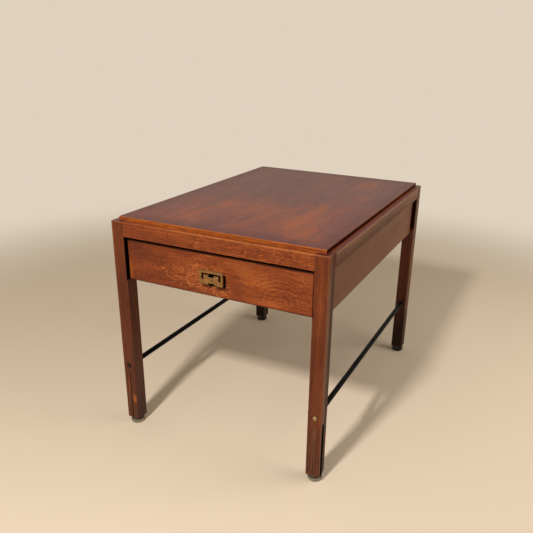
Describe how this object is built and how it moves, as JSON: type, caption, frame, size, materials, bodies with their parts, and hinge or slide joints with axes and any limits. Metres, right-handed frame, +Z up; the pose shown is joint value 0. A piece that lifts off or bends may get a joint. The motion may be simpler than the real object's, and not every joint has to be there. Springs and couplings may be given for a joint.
{
  "type": "nightstand",
  "caption": "Nightstand with a raised inset top, a recessed drawer with a pierced brass fret pull, square legs on steel glides and black rod stretchers at the sides.",
  "frame": {"origin": "bottom centre of the box around the whole nightstand, on the floor", "axes": "+X to the right as seen from the front, +Y to the back, +Z up; the drawer front faces -Y"},
  "size_m": [0.549, 0.7684, 0.565],
  "materials": {
    "top_wood": "satin lacquered mahogany, flamed",
    "frame_wood": "satin lacquered mahogany",
    "panel_wood": "satin lacquered mahogany veneer",
    "drawer_wood": "satin lacquered mahogany, ribbon grain",
    "inner_wood": "bare hardwood",
    "inner_ply": "bare plywood",
    "brass": "aged brass",
    "black_rod": "satin black",
    "glide_steel": "dull plated steel",
    "glide_rubber": "matte black",
    "screw_steel": "plain steel"
  },
  "bodies": {
    "case": {"back_panel": "panel_wood", "corner_block_front_left": "inner_wood", "corner_block_front_right": "inner_wood", "corner_block_rear_left": "inner_wood", "corner_block_rear_right": "inner_wood", "front_rail": "frame_wood", "glide_cap_front_left": "glide_steel", "glide_cap_front_right": "glide_steel", "glide_cap_rear_left": "glide_steel", "glide_cap_rear_right": "glide_steel", "glide_cushion_front_left": "glide_rubber", "glide_cushion_front_right": "glide_rubber", "glide_cushion_rear_left": "glide_rubber", "glide_cushion_rear_right": "glide_rubber", "glide_stems": "screw_steel", "leg_front_left": "frame_wood", "leg_front_right": "frame_wood", "leg_rear_left": "frame_wood", "leg_rear_right": "frame_wood", "rail_dowels": "inner_wood", "rear_rail": "frame_wood", "runner_left": "inner_wood", "runner_right": "inner_wood", "runner_screws": "screw_steel", "shut_stop_left": "inner_wood", "shut_stop_right": "inner_wood", "side_panel_left": "panel_wood", "side_panel_right": "panel_wood", "side_rail_left": "frame_wood", "side_rail_right": "frame_wood", "stretcher_bolts": "brass", "stretcher_left": "black_rod", "stretcher_right": "black_rod", "top_bearer": "inner_wood", "top_panel": "top_wood", "top_screws": "screw_steel"},
    "drawer": {"bottom_pins": "screw_steel", "drawer_back": "inner_wood", "drawer_bottom": "inner_ply", "drawer_front": "drawer_wood", "drawer_pull": "brass", "drawer_side_left": "inner_wood", "drawer_side_right": "inner_wood", "drawer_stop": "inner_wood", "pull_screws": "screw_steel", "stop_screws": "screw_steel"}
  },
  "joints": [
    {"name": "drawer_slide", "type": "slide", "parent": "case", "child": "drawer", "axis": [0, -1, 0], "range_m": [0, 0.4]}
  ]
}
